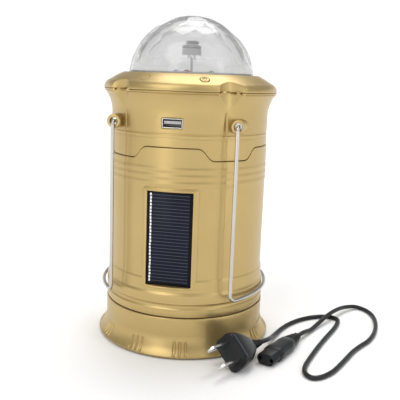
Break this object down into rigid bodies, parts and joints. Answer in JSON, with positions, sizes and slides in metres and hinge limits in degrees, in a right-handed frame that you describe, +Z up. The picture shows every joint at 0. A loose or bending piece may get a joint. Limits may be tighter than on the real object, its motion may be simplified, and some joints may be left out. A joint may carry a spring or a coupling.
{
  "type": "solar camping lantern",
  "caption": "Round rechargeable camping lantern with a telescopic sleeve over a clear lamp, a solar panel, a turning crystal dome light, two wire bails and a loose mains lead.",
  "frame": {"origin": "middle of the foot on the ground", "axes": "+Z up along the body's axis; the solar panel and USB socket face -Y; the charging socket faces +X"},
  "size_m": [0.2095, 0.1582, 0.2266],
  "materials": {
    "gold_shell": "satin metallic gold paint on moulded plastic",
    "clear_plastic": "clear moulded plastic",
    "white_plastic": "plain moulded plastic",
    "black_plastic": "satin black plastic",
    "black_cord": "matte flexible PVC",
    "rubber": "soft rubber",
    "wire_steel": "bright nickel-plated wire",
    "steel": "zinc-plated",
    "plated_contact": "nickel-plated",
    "cell_wrap": "plastic-wrapped cells",
    "solar_cell": "resin-covered solar cells",
    "circuit_board": "solder-masked board",
    "reflector_film": "mirror film",
    "led_lens": "clear epoxy",
    "red_lens": "tinted epoxy",
    "green_lens": "tinted epoxy",
    "blue_lens": "tinted epoxy"
  },
  "bodies": {
    "base": {"base_shell": "gold_shell", "bottom_cover": "black_plastic", "bottom_screws": "steel", "rubber_feet": "rubber", "charging_socket": "black_plastic", "socket_pins": "plated_contact", "socket_cover_pin": "steel", "battery_cradle": "black_plastic", "battery_cells": "cell_wrap", "charger_board": "circuit_board", "charger_parts": "black_plastic", "lamp_deck": "white_plastic", "lamp_tube": "clear_plastic", "lamp_cap": "white_plastic", "led_column": "white_plastic", "column_leds": "led_lens", "reflector": "reflector_film", "lead_cord": "black_cord", "mains_plug": "black_plastic", "plug_blades": "plated_contact", "lead_connector": "black_plastic"},
    "cover": {"sleeve": "gold_shell", "solar_panel": "solar_cell", "panel_backplate": "black_plastic", "head_shell": "gold_shell", "pivot_bushes": "plated_contact", "head_floor": "white_plastic", "head_screws": "steel", "usb_shell": "plated_contact", "usb_tongue": "white_plastic", "usb_board": "circuit_board", "top_cap": "gold_shell", "tact_switch": "black_plastic", "switch_board": "circuit_board", "stage_deck": "white_plastic", "stage_board": "circuit_board", "red_lamp": "red_lens", "green_lamp": "green_lens", "blue_lamp": "blue_lens", "dome_motor": "steel", "motor_strap": "steel"},
    "dome": {"dome_lens": "clear_plastic", "dome_hub": "white_plastic", "dome_shaft": "steel"},
    "power_button": {"power_button": "gold_shell"},
    "socket_cover": {"socket_cover": "gold_shell"},
    "right_bail": {"right_bail": "wire_steel"},
    "left_bail": {"left_bail": "wire_steel"}
  },
  "joints": [
    {"name": "sleeve_slide", "type": "slide", "parent": "base", "child": "cover", "axis": [0, 0, 1], "range_m": [0, 0.062]},
    {"name": "dome_spin", "type": "hinge", "parent": "cover", "child": "dome", "pos_m": [0, 0, 0.1828], "axis": [0, 0, 1], "continuous": true},
    {"name": "button_press", "type": "slide", "parent": "cover", "child": "power_button", "axis": [-0.1691, 0.4406, -0.8816], "range_m": [0, 0.0007], "stiffness_N_per_m": 1500},
    {"name": "socket_cover_hinge", "type": "hinge", "parent": "base", "child": "socket_cover", "pos_m": [0.0546, 0.011, 0.02], "axis": [0, 0, 1], "range_deg": [0, 95]},
    {"name": "right_bail_swing", "type": "hinge", "parent": "cover", "child": "right_bail", "pos_m": [0.0412, 0, 0.155], "axis": [0, -1, 0], "range_deg": [0, 190]},
    {"name": "left_bail_swing", "type": "hinge", "parent": "cover", "child": "left_bail", "pos_m": [-0.0412, 0, 0.155], "axis": [0, 1, 0], "range_deg": [0, 190]}
  ]
}
